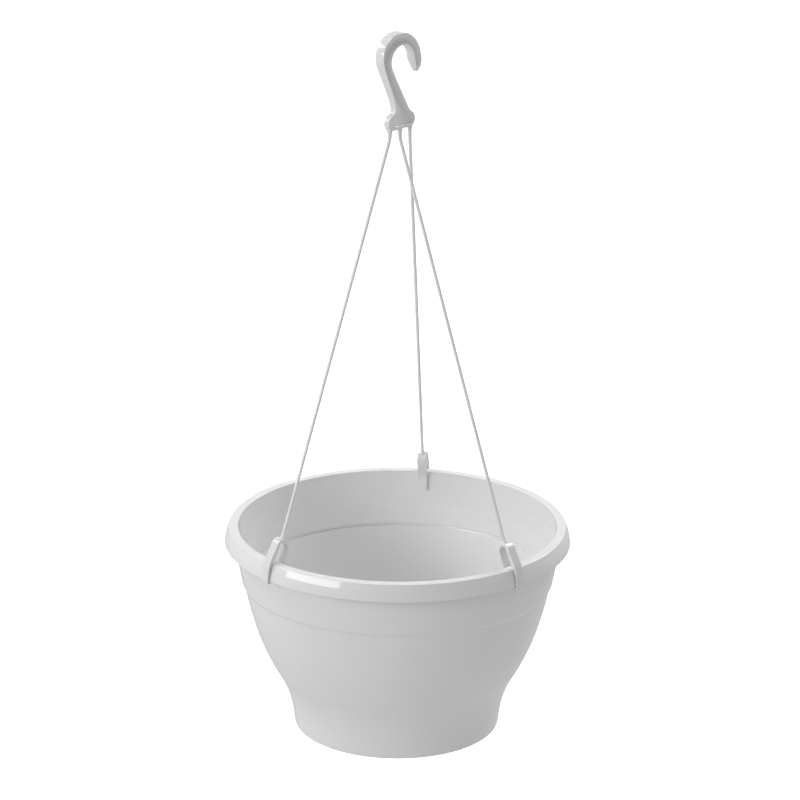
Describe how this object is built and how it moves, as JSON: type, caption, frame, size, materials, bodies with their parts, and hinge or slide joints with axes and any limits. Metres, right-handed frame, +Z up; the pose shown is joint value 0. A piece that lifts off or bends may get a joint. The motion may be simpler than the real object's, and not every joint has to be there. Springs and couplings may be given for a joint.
{
  "type": "hanging basket",
  "caption": "Round plastic hanging flower pot with a wide skirted rim, hung from a flat moulded hook by thin strands that clip over the rim.",
  "frame": {"origin": "the hook's saddle, the point inside the top of the hook that rests on whatever the basket hangs from", "axes": "+Z up, +X along the hook's flat plate and its foot, toward the side where the hook is open, +Y through the plate's thickness"},
  "size_m": [0.2818, 0.2818, 0.5757],
  "materials": {
    "pot_white": "semi-gloss injection-moulded polypropylene",
    "hanger_white": "semi-gloss injection-moulded polypropylene"
  },
  "bodies": {
    "hook": {"hook": "hanger_white"},
    "sling": {"strand_left": "hanger_white", "strand_right": "hanger_white", "strand_back": "hanger_white", "clip_left": "hanger_white", "clip_right": "hanger_white", "clip_back": "hanger_white"},
    "pot": {"pot": "pot_white"}
  },
  "joints": [
    {"name": "sway", "type": "hinge", "parent": "hook", "child": "sling", "pos_m": [0, 0, -0.074], "axis": [1, 0, 0], "range_deg": [-25, 25]},
    {"name": "pot_turn", "type": "hinge", "parent": "sling", "child": "pot", "pos_m": [0, 0, -0.396], "axis": [0, 0, 1], "continuous": true}
  ]
}
